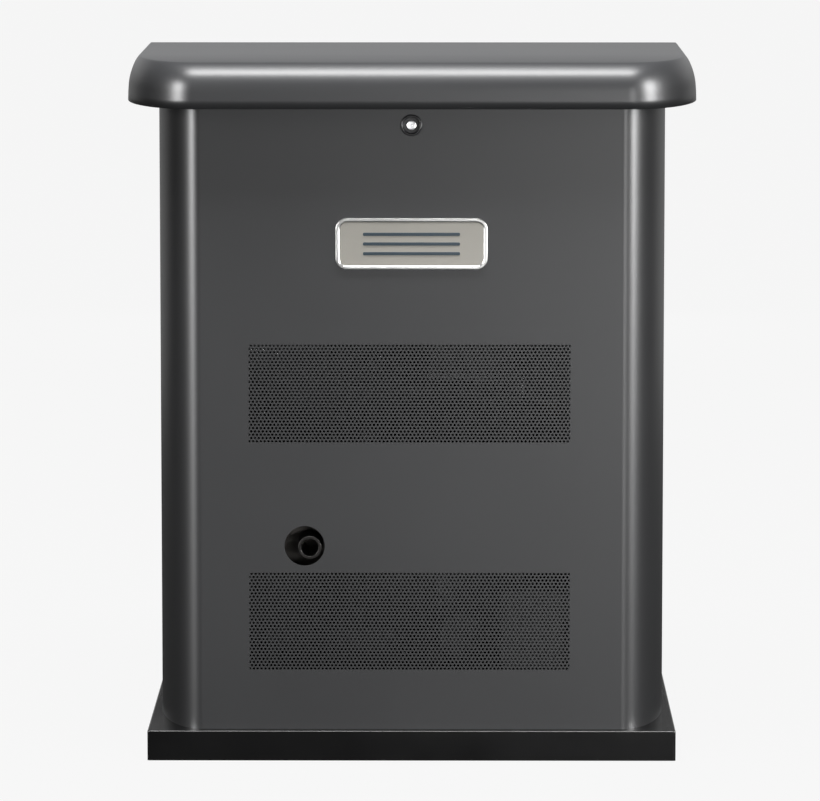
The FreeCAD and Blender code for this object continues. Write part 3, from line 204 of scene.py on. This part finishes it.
# Vent fields. Eighth-inch round holes punched on staggered centres straight through
# the front sheet, so the field is flush with it and has no frame of its own.
HOLE_R, PITCH = 0.0015875, 0.0047625
ROWS, COLUMNS, HOLE_SIDES = 30, 84, 12
FIELD_PROUD, WALL_SHORT = 0.00004, 0.0001


def vent_field(low, high, verts, faces):
    """One field: a hexagon of sheet round each hole, and the hole's wall behind it."""
    row_pitch = PITCH * math.sqrt(3) / 2
    reach = PITCH / math.sqrt(3)
    middle_x, middle_z = (VENT_X[0] + VENT_X[1]) / 2, (low + high) / 2
    y = FRONT + FIELD_PROUD
    known = {}

    def corner(x, z):
        key = (round(x * 2e5), round(z * 2e5))
        if key not in known:
            known[key] = len(verts)
            verts.append((x, y, z))
        return known[key]

    for row in range(-1, ROWS + 1):
        shift = PITCH / 2 if row % 2 else 0
        z = middle_z + (row - (ROWS - 1) / 2) * row_pitch
        for column in range(-1, COLUMNS + 1):
            x = middle_x + (column - (COLUMNS - 0.5) / 2) * PITCH + shift
            rim = [corner(x + reach * math.sin(i * math.pi / 3), z + reach * math.cos(i * math.pi / 3))
                   for i in range(6)]
            if not (0 <= row < ROWS and 0 <= column < COLUMNS):
                faces.append(tuple(rim))
                continue
            base = len(verts)
            for depth in (0, SHEET - WALL_SHORT):
                verts += [(x + HOLE_R * math.sin(2 * math.pi * i / HOLE_SIDES), y + depth,
                           z + HOLE_R * math.cos(2 * math.pi * i / HOLE_SIDES)) for i in range(HOLE_SIDES)]
            for i in range(6):
                a, b, c = base + 2 * i, base + 2 * i + 1, base + (2 * i + 2) % HOLE_SIDES
                faces += [(rim[i], a, b), (rim[i], b, rim[(i + 1) % 6]), (rim[(i + 1) % 6], b, c)]
            for i in range(HOLE_SIDES):
                j = (i + 1) % HOLE_SIDES
                faces.append((base + i, base + HOLE_SIDES + i, base + HOLE_SIDES + j, base + j))


for number, (low, high) in enumerate(VENTS, 1):
    verts, faces = [], []
    vent_field(low, high, verts, faces)
    piece("vent_field_%d" % number, verts, faces, powder_coat, "enclosure",
          ("vent_screens",), smooth=False)

# Hood. One deep-drawn steel lid with a rolled edge and long soft front corners,
# level over the front two thirds and falling to the back; coated like the body.
HOOD_HALF, HOOD_FRONT, HOOD_BACK = 0.358, -0.360, 0.340
HOOD_WIDE, HOOD_DEEP, HOOD_ROUND = 0.093, 0.205, 0.040
HOOD_TOP, HOOD_THICK = 0.871, 0.0025
FRONT_STEPS, BACK_STEPS = 32, 12
ROLL = ((0.815, 0.0, 0.0), (0.826, 0.0003, 0.0), (0.836, 0.0010, 0.0), (0.841, 0.0017, 0.0003),
        (0.845, 0.0026, 0.0010), (0.849, 0.0036, 0.0022), (0.853, 0.0049, 0.0040),
        (0.857, 0.0064, 0.0064), (0.860, 0.0077, 0.0090), (0.863, 0.0091, 0.0122),
        (0.8655, 0.0106, 0.0155), (0.8676, 0.0121, 0.0187), (0.8692, 0.0133, 0.0220),
        (0.8704, 0.0145, 0.0255), (HOOD_TOP, 0.0155, 0.0290))
RIDGE, FALL = 0.098, math.tan(math.radians(5))


def hood_plan(side, front):
    """Plan points of the hood at one level, anticlockwise from the front left corner."""
    right = []
    wide, deep, round_back = HOOD_WIDE - side, HOOD_DEEP - front, HOOD_ROUND - side
    middle_x, middle_y = HOOD_HALF - HOOD_WIDE, HOOD_FRONT + HOOD_DEEP
    for i in range(FRONT_STEPS + 1):
        turn = math.pi / 2 * i / FRONT_STEPS
        right.append((middle_x + wide * math.sin(turn), middle_y - deep * math.cos(turn)))
    right.append((HOOD_HALF - side, RIDGE))
    for i in range(BACK_STEPS + 1):
        turn = math.pi / 2 * i / BACK_STEPS
        right.append((HOOD_HALF - HOOD_ROUND + round_back * math.cos(turn),
                      HOOD_BACK - HOOD_ROUND + round_back * math.sin(turn)))
    return right + [(-x, y) for x, y in right[::-1]]


def roof_limit(y, z):
    """Height of a point of the hood, held under the roof's fall to the back."""
    return min(z, HOOD_TOP - max(0.0, y - RIDGE) * FALL)


rings = [[Vector((x, y, roof_limit(y, z))) for x, y in hood_plan(side, front)] for z, side, front in ROLL]
count = len(rings[0])
verts = [v for ring in rings for v in ring]
faces = [(r * count + i, r * count + (i + 1) % count, (r + 1) * count + (i + 1) % count,
          (r + 1) * count + i) for r in range(len(rings) - 1) for i in range(count)]
last = (len(rings) - 1) * count
ridge_right, ridge_left = last + FRONT_STEPS + 1, last + count - FRONT_STEPS - 2
faces.append(tuple(range(last, ridge_right + 1)) + tuple(range(ridge_left, last + count)))
faces.append(tuple(range(ridge_right, ridge_left + 1)))
hood_skin = piece("hood_skin", verts, faces, powder_coat, "hood", ("hood_shell",))
settle(hood_skin, ("SOLIDIFY", {"thickness": HOOD_THICK, "offset": -1.0}))

# Lock. A black cast escutcheon with a deep recess, and a chromed plug with a key slot
# standing in it; the blade behind the sheet turns over the hood's keeper.
black_casting = finish("black_casting", (0.012, 0.012, 0.013), rough=0.38, grain=700, mottle=0.12)
chrome = finish("chrome", (0.88, 0.88, 0.89), metal=1.0, rough=0.32, grain=500, grain_height=0.00001,
                mottle=0.04)


def turned(name, profile, centre, along, material, body, stands_for=(), segments=64):
    """A turned piece: (radius, distance along the axis) pairs spun round the axis."""
    axis = Vector(along).normalized()
    side = axis.orthogonal().normalized()
    other = axis.cross(side)
    verts, faces = [], []
    for radius, run in profile:
        for i in range(segments):
            angle = 2 * math.pi * i / segments
            verts.append(Vector(centre) + axis * run
                         + (side * math.cos(angle) + other * math.sin(angle)) * radius)
    for r in range(len(profile) - 1):
        for i in range(segments):
            j = (i + 1) % segments
            faces.append((r * segments + i, r * segments + j, (r + 1) * segments + j,
                          (r + 1) * segments + i))
    if profile[0] != profile[-1]:
        faces.append(tuple(range(segments)))
        faces.append(tuple(range((len(profile) - 1) * segments, len(profile) * segments)))
    return soften(piece(name, verts, faces, material, body, stands_for), 0.0003)


turned("lock_escutcheon",
       [(0.0061, 0.0185), (0.0061, 0.0053), (0.0098, 0.0053), (0.0102, 0.0012), (0.0110, 0.0001),
        (LOCK_R, 0.0001), (0.0132, 0.0012), (0.0135, 0.0031), (0.0120, 0.0034), (0.0120, 0.0185),
        (0.0061, 0.0185)],
       (0, FRONT - 0.0032, LOCK_Z), (0, 1, 0), black_casting, "enclosure",
       ("lock_housing",))
turned("lock_plug_head",
       [(0.0012, 0.0020), (0.0012, 0.0006), (0.0046, 0.0006), (0.0052, 0.0), (0.0058, 0.0004),
        (0.0060, 0.0012), (0.0060, 0.0200), (0.0040, 0.0200), (0.0040, 0.0262)],
       (0, FRONT - 0.0012, LOCK_Z), (0, 1, 0), chrome, "lock", ("lock_plug",))
dress(chrome, "lock_cam")

# Badge. A plain round-cornered plate: a satin metal rim around an enamelled field
# with three raised bars, stuck on the front sheet. It carries no mark and no words.
BADGE_Z, BADGE_HALF_W, BADGE_HALF_H, BADGE_CORNER = 0.6461, 0.094, 0.032, 0.014
BAR_HALF_W, BAR_HALF_H, BAR_CORNER, BAR_STEP = 0.060, 0.002, 0.0015, 0.012
satin_metal = finish("satin_metal", (0.55, 0.55, 0.54), metal=1.0, rough=0.3, grain=1200, mottle=0.06)
pale_enamel = finish("pale_enamel", (0.50, 0.48, 0.43), rough=0.3, grain=500, mottle=0.03, coat=0.4)
slate_enamel = finish("slate_enamel", (0.045, 0.075, 0.10), rough=0.3, grain=500, mottle=0.06)


def rounded_rim(half_w, half_h, radius, y, steps=10):
    """A round-cornered outline about the badge's middle, at one depth."""
    points = []
    for cx, cz, start in ((1, 1, 0), (-1, 1, 90), (-1, -1, 180), (1, -1, 270)):
        for i in range(steps + 1):
            angle = math.radians(start + 90 * i / steps)
            points.append(Vector((cx * (half_w - radius) + radius * math.cos(angle), y,
                                  BADGE_Z + cz * (half_h - radius) + radius * math.sin(angle))))
    return points


def stacked(name, rims, material, stands_for=()):
    """Skin a run of matching outlines and close both ends."""
    count = len(rims[0])
    verts = [v for rim in rims for v in rim]
    faces = [(r * count + i, r * count + (i + 1) % count, (r + 1) * count + (i + 1) % count,
              (r + 1) * count + i) for r in range(len(rims) - 1) for i in range(count)]
    faces.append(tuple(range(count)))
    faces.append(tuple(range((len(rims) - 1) * count, len(rims) * count)))
    return soften(piece(name, verts, faces, material, "enclosure", stands_for), 0.0002)


def badge_rim(grow, y):
    """The badge's own outline, grown or drawn in."""
    return rounded_rim(BADGE_HALF_W + grow, BADGE_HALF_H + grow, BADGE_CORNER + grow, y)


stacked("badge_frame",
        [badge_rim(grow, FRONT - proud) for grow, proud in
         ((0, 0.00005), (0, 0.0024), (-0.0009, 0.0034), (-0.0036, 0.0034), (-0.0050, 0.0022),
          (-0.0050, 0.0010))],
        satin_metal, ("badge_bezel",))
stacked("badge_field",
        [badge_rim(-0.0052, FRONT - 0.0011), badge_rim(-0.0052, FRONT - 0.0022)],
        pale_enamel, ("badge_face",))
for number, rise in enumerate((-BAR_STEP, 0.0, BAR_STEP)):
    bar = []
    for y, grow in ((FRONT - 0.0020, 0.0), (FRONT - 0.0027, 0.0), (FRONT - 0.0029, -0.0004)):
        rim = rounded_rim(BAR_HALF_W + grow, BAR_HALF_H + grow, BAR_CORNER, y, 4)
        bar.append([v + Vector((0, 0, rise)) for v in rim])
    stacked("badge_bar_%d" % number, bar, slate_enamel)

# Exhaust port. The tailpipe's plain end stands in the round hole in the front sheet;
# it and the muffler are aluminised steel, sooted and heat-darkened to near black.
sooted_steel = finish("sooted_steel", (0.016, 0.015, 0.014), metal=0.7, rough=0.42, grain=400, mottle=0.35,
                      mottle_scale=30)
hot_steel = finish("hot_steel", (0.16, 0.15, 0.14), metal=0.9, rough=0.45, grain=300, mottle=0.3,
                   mottle_scale=18)
TAIL_X, TAIL_Z, TAIL_R, TAIL_BORE, TAIL_LEN = -0.1267, 0.2662, 0.0145, 0.0108, 0.0553
LIP = 0.0006
turned("exhaust_tail",
       [(TAIL_R, TAIL_LEN), (TAIL_R, LIP), (TAIL_R - 0.3 * LIP, 0.3 * LIP), (TAIL_R - LIP, 0.0),
        (TAIL_BORE + LIP, 0.0), (TAIL_BORE + 0.3 * LIP, 0.3 * LIP), (TAIL_BORE, LIP),
        (TAIL_BORE, TAIL_LEN), (TAIL_R, TAIL_LEN)],
       (TAIL_X, FRONT + 0.0005, TAIL_Z), (0, 1, 0), sooted_steel, "enclosure",
       ("tailpipe",))
dress(hot_steel, "muffler", "exhaust_pipes")

# Frame, fixings and hinges. Zinc-plated folded steel posts, rings and hinge leaves;
# the hinge pins and screws are blacked. Seal, mounts and hose are rubber, the pad foam.
zinc = finish("zinc", (0.42, 0.43, 0.44), metal=1.0, rough=0.42, grain=180, mottle=0.18, mottle_scale=40)
black_oxide = finish("black_oxide", (0.03, 0.03, 0.032), metal=0.8, rough=0.4, grain=600, mottle=0.15)
rubber = finish("rubber", (0.014, 0.014, 0.014), rough=0.7, grain=900, grain_height=0.0001, mottle=0.15)
foam = finish("foam", (0.025, 0.025, 0.027), rough=0.95, grain=420, grain_height=0.0006, mottle=0.25)
dress(zinc, "frame_posts", "top_frame", "hood_frame", "lock_keeper", "engine_bed", "control_box",
      "lid_stay", "hinge_leaves_fixed", "hinge_leaves_moving")
dress(black_oxide, "hinge_pins")
dress(rubber, "isolation_mounts", "fuel_hose")

# Sheet screws. Black hex heads with a pressed washer face, down the back edges only;
# the wrapped front sheet hooks over the frame and shows no fixing.
SCREW_ROOT, SCREW_HEX, SCREW_SIDES = 0.0055, 0.0035, 36
SCREW_ROWS, SIDE_SCREW_Y, BACK_SCREW_X = (0.075, 0.42, 0.765), 0.268, 0.275


def screw_head(centre, out, verts, faces):
    """One head standing out from its sheet: washer face, hexagon and a dished top."""
    out = Vector(out)
    side = out.orthogonal().normalized()
    other = out.cross(side)
    start = len(verts)
    rings = ((1, 0.0, 0), (1, 0.0005, 0), (0.84, 0.0009, 0), (1, 0.0010, 1), (1, 0.0023, 1),
             (0.9, 0.0025, 1), (0.6, 0.0021, 0))
    for share, rise, hexagon in rings:
        for i in range(SCREW_SIDES):
            angle = 2 * math.pi * i / SCREW_SIDES
            flat = SCREW_HEX / math.cos((angle % (math.pi / 3)) - math.pi / 6)
            radius = share * (flat if hexagon else SCREW_HEX if rise > 0.001 else SCREW_ROOT)
            verts.append(Vector(centre) + out * rise
                         + (side * math.cos(angle) + other * math.sin(angle)) * radius)
    for r in range(len(rings) - 1):
        for i in range(SCREW_SIDES):
            j, low, high = (i + 1) % SCREW_SIDES, start + r * SCREW_SIDES, start + (r + 1) * SCREW_SIDES
            faces.append((low + i, low + j, high + j, high + i))
    faces.append(tuple(range(start, start + SCREW_SIDES)))
    faces.append(tuple(range(len(verts) - SCREW_SIDES, len(verts))))


verts, faces = [], []
for z in SCREW_ROWS:
    for side in (-1, 1):
        screw_head((side * HALF, SIDE_SCREW_Y, z), (side, 0, 0), verts, faces)
        screw_head((side * BACK_SCREW_X, BACK, z), (0, 1, 0), verts, faces)
piece("sheet_screws", verts, faces, black_oxide, "enclosure", ("panel_screws",),
      smooth=False)

# Hood seal. An extruded rubber bulb clipped on the top ring, soft and matt, which
# the hood's frame presses when it is shut.
SEAL_SECTION = ((0.0052, 0.0), (0.0050, 0.0020), (0.0054, 0.0040), (0.0064, 0.0054), (0.0078, 0.0060),
                (0.0092, 0.0060), (0.0106, 0.0054), (0.0116, 0.0040), (0.0120, 0.0020), (0.0118, 0.0))
BACK_ROUND = 0.024


def enclosure_plan(inset, steps=8):
    """The whole enclosure's outline, drawn in by an inset."""
    right = [(x, y) for x, y in sweep_corner(1, inset)]
    for i in range(steps + 1):
        turn = math.pi / 2 * i / steps
        right.append((HALF - BACK_ROUND + (BACK_ROUND - inset) * math.cos(turn),
                      BACK - BACK_ROUND + (BACK_ROUND - inset) * math.sin(turn)))
    return right + [(-x, y) for x, y in right[::-1]]


verts, faces = [], []
for inset, rise in SEAL_SECTION:
    verts += [Vector((x, y, TOP + rise)) for x, y in enclosure_plan(inset)]
count = len(verts) // len(SEAL_SECTION)
for r in range(len(SEAL_SECTION)):
    above = (r + 1) % len(SEAL_SECTION)
    faces += [(r * count + i, r * count + (i + 1) % count, above * count + (i + 1) % count,
               above * count + i) for i in range(count)]
piece("hood_seal", verts, faces, rubber, "enclosure", ("roof_seal",))

# Sound pad. Open-cell foam with a moulded egg-crate face, glued under the level
# part of the hood.
PAD_TOP, PAD_THICK, PAD_HALF, PAD_FRONT, PAD_BACK = 0.8683, 0.0100, 0.288, -0.295, 0.092
DIMPLE, DIMPLE_DEPTH, PAD_EDGE, PAD_INSET, PAD_CELL = 0.032, 0.0045, 0.003, 0.018, 0.004


def pad_reach(y):
    """Half width of the pad at a depth, following the hood's front corners."""
    deep = SWEEP_Y - PAD_INSET
    back_off = min(0.0, (y - FRONT - SWEEP_Y) / deep)
    return min(PAD_HALF, HALF - SWEEP_X + (SWEEP_X - PAD_INSET) * math.sqrt(1 - back_off ** 2))


across, along = int(2 * PAD_HALF / PAD_CELL), int((PAD_BACK - PAD_FRONT) / PAD_CELL)
verts, faces = [], []
for layer in (0, 1):
    for v in range(along + 1):
        y = PAD_FRONT + (PAD_BACK - PAD_FRONT) * v / along
        for u in range(across + 1):
            x = pad_reach(y) * (2 * u / across - 1)
            crest = 0.5 + 0.5 * math.cos(2 * math.pi * x / DIMPLE) * math.cos(2 * math.pi * y / DIMPLE)
            inside = 0 < u < across and 0 < v < along
            low = PAD_TOP - PAD_THICK + (DIMPLE_DEPTH * crest if inside else PAD_EDGE)
            verts.append((x, y, PAD_TOP if layer else low))
row, layer_size = across + 1, (across + 1) * (along + 1)
for v in range(along):
    for u in range(across):
        a = v * row + u
        faces += [(a, a + 1, a + row + 1, a + row),
                  tuple(layer_size + b for b in (a, a + 1, a + row + 1, a + row))]
rim = (list(range(across)) + [v * row + across for v in range(along)]
       + [along * row + u for u in range(across, 0, -1)] + [v * row for v in range(along, 0, -1)])
faces += [(a, b, layer_size + b, layer_size + a) for a, b in zip(rim, rim[1:] + rim[:1])]
pad = piece("sound_pad", verts, faces, foam, "hood", ("hood_liner",))

# Engine and alternator. Black-painted sand-cast case, barrels and heads, their grey made darker still
# as painted shade for the dark inside seen through the vents; black pressed covers, and a plain
# steel can round a varnished stator, all on one shaft.
# Painted shade: this dark grey is partly the engine's black paint and partly shade painted in for the
# enclosed interior.
cast_alloy = finish("cast_alloy", (0.11, 0.112, 0.115), metal=0.6, rough=0.6, grain=350,
                    grain_height=0.00025, mottle=0.15, mottle_scale=25)
black_cover = finish("black_cover", (0.010, 0.010, 0.011), rough=0.60, grain=600, mottle=0.15)
machined = finish("machined", (0.42, 0.42, 0.43), metal=1.0, rough=0.28, grain=900, mottle=0.08)
cast_iron = finish("cast_iron", (0.10, 0.10, 0.105), metal=0.8, rough=0.6, grain=350,
                   grain_height=0.0003, mottle=0.2)
varnished_copper = finish("varnished_copper", (0.32, 0.11, 0.035), metal=0.6, rough=0.35, grain=120,
                          grain_height=0.0004, mottle=0.25)
filter_black = finish("filter_black", (0.012, 0.012, 0.013), rough=0.35, grain=500, mottle=0.08,
                      coat=0.5)
filter_paper = finish("filter_paper", (0.50, 0.38, 0.18), rough=0.9, grain=300, mottle=0.12)
handle_yellow = finish("handle_yellow", (0.68, 0.36, 0.01), rough=0.35, grain=400, mottle=0.06)
dress(cast_alloy, "crankcase", "cylinder_barrels", "cylinder_heads", "mixer", "end_bell")
dress(black_cover, "valve_covers", "blower_housing", "starter_motor", "regulator", "air_cleaner_cover",
      "stator_can")
dress(machined, "crankshaft", "rotor", "throttle_shaft")
dress(cast_iron, "flywheel")
dress(varnished_copper, "stator_core")
dress(filter_black, "oil_filter")
dress(filter_paper, "filter_element")
dress(handle_yellow, "dipstick", "fuel_valve_lever")

# Services and control gear under the hood: brass gas cock, black cable hub and battery,
# a moulded control plate with its window, three keys and a two-way breaker.
brass = finish("brass", (0.58, 0.40, 0.14), metal=1.0, rough=0.3, grain=600, mottle=0.1)
moulded = finish("moulded", (0.02, 0.02, 0.022), rough=0.5, grain=1100, grain_height=0.00012, mottle=0.1)
window = finish("window", (0.03, 0.06, 0.05), rough=0.08, grain=300, grain_height=0.000005, mottle=0.1,
                coat=0.8)
key_green = finish("key_green", (0.03, 0.22, 0.05), rough=0.45, grain=800, mottle=0.06)
key_grey = finish("key_grey", (0.20, 0.20, 0.21), rough=0.45, grain=800, mottle=0.06)
key_orange = finish("key_orange", (0.60, 0.13, 0.01), rough=0.45, grain=800, mottle=0.06)
dress(brass, "fuel_valve")
dress(moulded, "cable_gland", "battery", "control_face", "breaker_body", "breaker_toggle")
dress(window, "display_lens")
dress(key_green, "key_auto")
dress(key_grey, "key_off")
dress(key_orange, "key_manual")

# Pale studio floor, not part of the generator.
SPAN, FLOOR_Z = 40.0, -0.0005
floor_mesh = bpy.data.meshes.new("studio_floor")
floor_mesh.from_pydata([(-SPAN, -SPAN, FLOOR_Z), (SPAN, -SPAN, FLOOR_Z), (SPAN, SPAN, FLOOR_Z),
                        (-SPAN, SPAN, FLOOR_Z)], [], [(0, 1, 2, 3)])
floor = bpy.data.objects.new("studio_floor", floor_mesh)
bpy.context.scene.collection.objects.link(floor)
paper = bpy.data.materials.new("studio_paper")
paper.use_nodes = True
paper_shader = paper.node_tree.nodes["Principled BSDF"]
paper_shader.inputs["Base Color"].default_value = (0.008, 0.008, 0.008, 1)
paper_shader.inputs["Roughness"].default_value = 1.0
paper_shader.inputs["Specular IOR Level"].default_value = 0.0
paper_shader.inputs["Emission Color"].default_value = (1, 1, 1, 1)
paper_shader.inputs["Emission Strength"].default_value = 0.915
floor_mesh.materials.append(paper)
floor.visible_glossy = False
floor.visible_diffuse = False

# Soft studio light: a dim even room, an upright strip off each front corner that only
# the gloss sees, a broad bank overhead, low banks behind, and fills from the right.
room = bpy.data.worlds.new("studio_room")
room.use_nodes = True
room.node_tree.nodes["Background"].inputs["Color"].default_value = (1, 1, 1, 1)
room.node_tree.nodes["Background"].inputs["Strength"].default_value = 0.05
bpy.context.scene.world = room


def soft_light(name, place, aim, wide, tall, power):
    """A rectangular lamp turned to face a point on the generator."""
    lamp = bpy.data.lights.new(name, "AREA")
    lamp.shape = "RECTANGLE"
    lamp.size, lamp.size_y = wide, tall
    lamp.energy = power
    made = bpy.data.objects.new(name, lamp)
    bpy.context.scene.collection.objects.link(made)
    made.location = place
    made.rotation_euler = (Vector(aim) - Vector(place)).to_track_quat("-Z", "Y").to_euler()
    return made


for name, place, power in (("left_strip", (-2.90, -1.96, 1.30), 240),
                           ("right_strip", (3.25, -1.30, 1.30), 290)):
    strip = soft_light(name, place, (0, 0, 0.9), 1.3, 1.8, power)
    strip.visible_diffuse = False
for name, place, aim, wide, tall, power in (
        ("overhead", (0, -0.80, 3.70), 0.8, 2.4, 1.2, 270),
        ("back_bank", (0, 3.2, 1.55), 0.9, 5.5, 1.0, 12),
        ("right_fill", (2.2, -6.0, 0.5), 0.3, 1.2, 0.8, 120),
        ("low_fill", (1.1, -3.4, 0.25), 0.3, 1.6, 0.4, 14),
        ("back_fill", (0, 5.0, 0.3), 0.4, 0.55, 0.5, 30),
        ("rear_left", (-1.48, 3.17, 0.6), 0.6, 1.8, 1.2, 3),
        ("rear_right", (1.48, 3.17, 0.6), 0.6, 1.8, 1.2, 3)):
    soft_light(name, place, (0, 0, aim), wide, tall, power)

# Camera: a long lens well back, a little above the hood and looking slightly down.
lens = bpy.data.cameras.new("studio_camera")
lens.sensor_fit = "HORIZONTAL"
lens.sensor_width = 36.0
lens.lens = 237.07
lens.clip_end = 200
camera = bpy.data.objects.new("studio_camera", lens)
bpy.context.scene.collection.objects.link(camera)
camera.location = (0.0360, -6.9660, 1.2749)
camera.rotation_euler = (math.radians(90 - 7.0676), 0, math.radians(0.3264))
bpy.context.scene.camera = camera
bpy.context.scene.view_settings.view_transform = "Standard"
